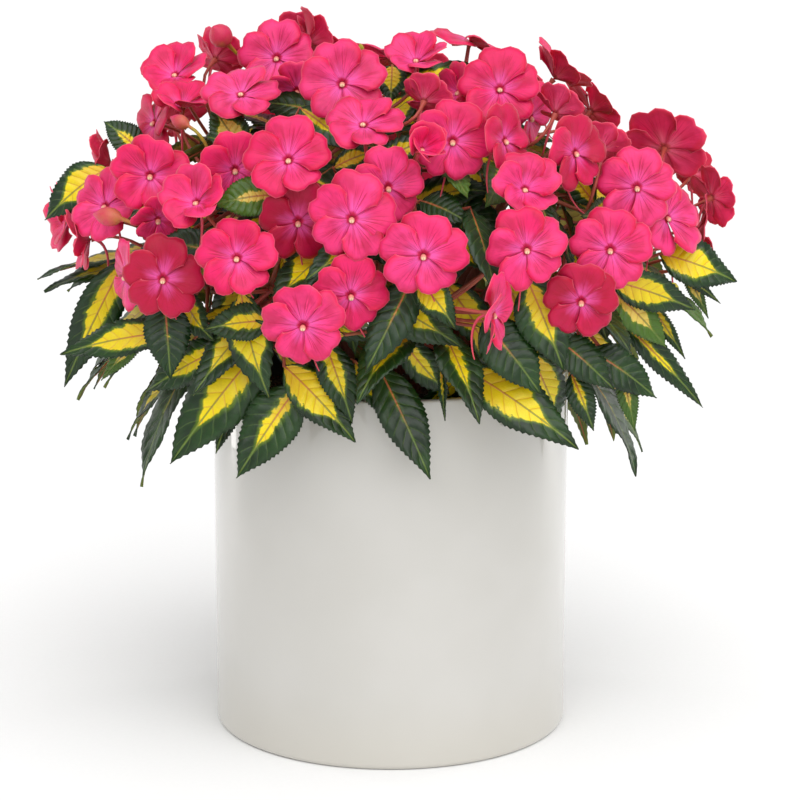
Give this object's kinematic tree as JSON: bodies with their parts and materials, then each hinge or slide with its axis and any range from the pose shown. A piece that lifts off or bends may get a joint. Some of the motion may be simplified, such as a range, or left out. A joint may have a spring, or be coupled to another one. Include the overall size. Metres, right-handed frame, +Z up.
{
  "type": "potted new guinea impatiens",
  "caption": "Round bushy New Guinea impatiens with pink flowers and yellow-centred toothed leaves, in a straight-sided off-white glazed pot.",
  "frame": {"origin": "centre of the pot's flat base", "axes": "+Z up along the pot's axis; the side the picture shows faces -Y, with +X to the viewer's right"},
  "size_m": [0.4672, 0.4588, 0.4869],
  "materials": {
    "glazed_ceramic": "gloss",
    "black_plastic": "matte",
    "potting_soil": "matte",
    "foliage": "satin",
    "petals": "satin"
  },
  "bodies": {
    "root": {"pot": "glazed_ceramic", "grow_pot": "black_plastic", "soil": "potting_soil", "leafy_stem_01": "foliage", "leafy_stem_02": "foliage", "leafy_stem_03": "foliage", "leafy_stem_04": "foliage", "leafy_stem_05": "foliage", "leafy_stem_06": "foliage", "leafy_stem_07": "foliage", "leafy_stem_08": "foliage", "leafy_stem_09": "foliage", "leafy_stem_10": "foliage", "leafy_stem_11": "foliage", "leafy_stem_12": "foliage", "leafy_stem_13": "foliage", "leafy_stem_14": "foliage", "leafy_stem_15": "foliage", "leafy_stem_16": "foliage", "leafy_stem_17": "foliage", "leafy_stem_18": "foliage", "flower_spray_01": "petals", "flower_spray_02": "petals", "flower_spray_03": "petals", "flower_spray_04": "petals", "flower_spray_05": "petals", "flower_spray_06": "petals", "flower_spray_07": "petals", "flower_spray_08": "petals", "flower_spray_09": "petals", "flower_spray_10": "petals", "flower_spray_11": "petals", "flower_spray_12": "petals", "flower_spray_13": "petals", "flower_spray_14": "petals", "flower_spray_15": "petals", "flower_spray_16": "petals", "flower_spray_17": "petals", "flower_spray_18": "petals"}
  },
  "joints": []
}
